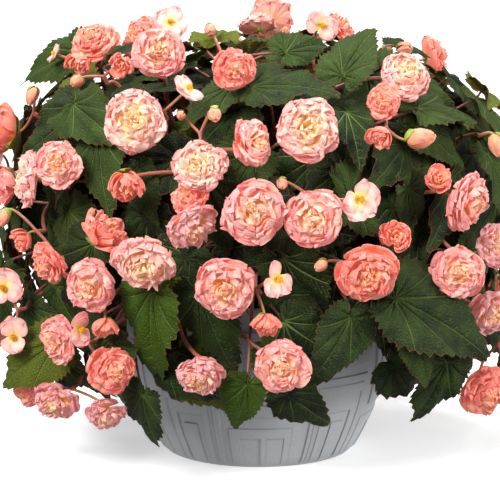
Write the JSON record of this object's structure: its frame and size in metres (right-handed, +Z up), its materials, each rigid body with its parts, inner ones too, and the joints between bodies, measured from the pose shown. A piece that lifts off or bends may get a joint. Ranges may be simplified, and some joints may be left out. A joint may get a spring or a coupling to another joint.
{
  "type": "potted begonia",
  "caption": "Flowering tuberous begonia with double blooms and toothed leaves in a round planter with stepped relief.",
  "frame": {"origin": "centre of the pot's flat foot, on the surface it stands on", "axes": "+Z up, -Y towards the front of the plant, +X to the right seen from the front"},
  "size_m": [0.6768, 0.6859, 0.5336],
  "materials": {
    "pot": "satin light grey with a shallow stepped relief",
    "soil": "dark crumbly potting soil",
    "leaf": "dark green hairy leaf with pale veins and a fine reddish margin",
    "petal": "soft translucent petal, coral to pale pink with a cream base"
  },
  "bodies": {
    "root": {"pot": "pot", "soil": "soil", "leafy_stem_01": "leaf", "leafy_stem_02": "leaf", "leafy_stem_03": "leaf", "leafy_stem_04": "leaf", "leafy_stem_05": "leaf", "leafy_stem_06": "leaf", "leafy_stem_07": "leaf", "leafy_stem_08": "leaf", "leafy_stem_09": "leaf", "leafy_stem_10": "leaf", "spray_01": "petal", "spray_02": "petal", "spray_03": "petal", "spray_04": "petal", "spray_05": "petal", "spray_06": "petal", "spray_07": "petal", "spray_08": "petal", "spray_09": "petal", "spray_10": "petal", "spray_11": "petal", "spray_12": "petal", "spray_13": "petal", "spray_14": "petal", "spray_15": "petal", "spray_16": "petal", "spray_17": "petal", "spray_18": "petal", "spray_19": "petal", "spray_20": "petal", "spray_21": "petal", "spray_22": "petal", "spray_23": "petal", "spray_24": "petal", "spray_25": "petal", "spray_26": "petal", "spray_27": "petal", "spray_28": "petal", "spray_29": "petal", "spray_30": "petal", "spray_31": "petal", "spray_32": "petal", "spray_33": "petal", "spray_34": "petal", "spray_35": "petal", "spray_36": "petal", "spray_37": "petal", "spray_38": "petal", "spray_39": "petal", "spray_40": "petal", "spray_41": "petal", "spray_42": "petal", "spray_43": "petal", "spray_44": "petal", "spray_45": "petal", "spray_46": "petal", "spray_47": "petal", "spray_48": "petal"}
  },
  "joints": []
}
